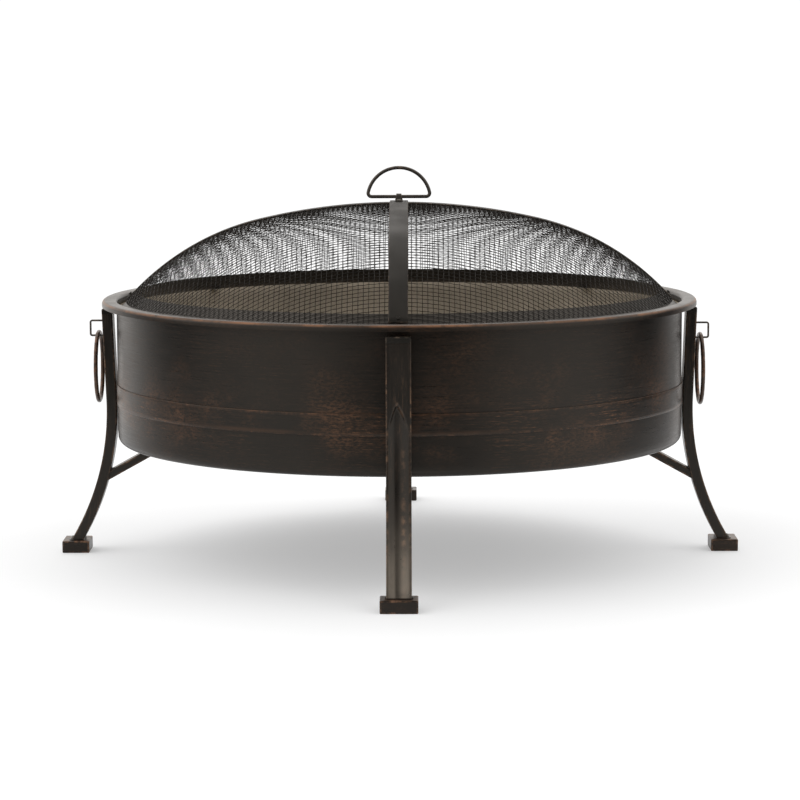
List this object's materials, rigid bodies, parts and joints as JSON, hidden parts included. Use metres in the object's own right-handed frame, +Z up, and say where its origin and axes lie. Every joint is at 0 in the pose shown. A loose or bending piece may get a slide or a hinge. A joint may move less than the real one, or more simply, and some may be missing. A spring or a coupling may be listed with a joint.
{
  "type": "fire pit with grate",
  "caption": "Round steel fire pit on splayed legs, with a domed mesh spark screen, a lift handle, ring side handles and a log grate.",
  "frame": {"origin": "on the floor, under the centre of the bowl", "axes": "+Z up; -Y towards the front leg; +X towards the right ring handle"},
  "size_m": [0.874, 0.874, 0.4975],
  "materials": {
    "bronze_finish": "high-heat oil-rubbed bronze paint, brushed, with worn copper edges",
    "worn_bronze": "bronze paint rubbed back to a copper brown",
    "dark_steel": "dark grey high-heat paint, satin",
    "mesh_steel": "woven wire, dark bronze paint",
    "grate_steel": "matt black high-heat paint on drawn steel wire",
    "zinc_hardware": "dull blackened zinc"
  },
  "bodies": {
    "stand_and_bowl": {"bowl": "bronze_finish", "bowl_band": "worn_bronze", "screen_rest_tabs": "bronze_finish", "leg_front": "bronze_finish", "leg_right": "bronze_finish", "leg_back": "bronze_finish", "leg_left": "bronze_finish", "brace_front": "bronze_finish", "brace_right": "bronze_finish", "brace_back": "bronze_finish", "brace_left": "bronze_finish", "foot_front": "bronze_finish", "foot_right": "bronze_finish", "foot_back": "bronze_finish", "foot_left": "bronze_finish", "leg_caps": "bronze_finish", "wall_bolts": "zinc_hardware", "floor_bolts": "zinc_hardware", "floor_nuts": "zinc_hardware", "staple_left": "dark_steel", "staple_right": "dark_steel"},
    "log_grate": {"grate_rim": "grate_steel", "grate_bars": "grate_steel", "grate_cross_bars": "grate_steel", "grate_feet": "grate_steel"},
    "spark_screen": {"screen_mesh": "mesh_steel", "screen_hem": "bronze_finish", "strap_front_back": "dark_steel", "strap_left_right": "dark_steel", "strap_rivets": "dark_steel", "handle_clip": "dark_steel", "clip_rivets": "zinc_hardware"},
    "lift_handle": {"lift_handle": "dark_steel"},
    "ring_handle_left": {"ring_left": "worn_bronze"},
    "ring_handle_right": {"ring_right": "worn_bronze"}
  },
  "joints": [
    {"name": "grate_lift", "type": "slide", "parent": "stand_and_bowl", "child": "log_grate", "axis": [0, 0, 1], "range_m": [0, 0.3]},
    {"name": "screen_lift", "type": "slide", "parent": "log_grate", "child": "spark_screen", "axis": [0, 0, 1], "range_m": [0, 0.3]},
    {"name": "lift_handle_turn", "type": "hinge", "parent": "spark_screen", "child": "lift_handle", "pos_m": [0, 0, 0.4583], "axis": [1, 0, 0], "range_deg": [-92, 92]},
    {"name": "ring_left_swing", "type": "hinge", "parent": "stand_and_bowl", "child": "ring_handle_left", "pos_m": [-0.3876, 0, 0.2851], "axis": [0, 1, 0], "range_deg": [0, 170]},
    {"name": "ring_right_swing", "type": "hinge", "parent": "stand_and_bowl", "child": "ring_handle_right", "pos_m": [0.3876, 0, 0.2801], "axis": [0, -1, 0], "range_deg": [0, 170]}
  ]
}
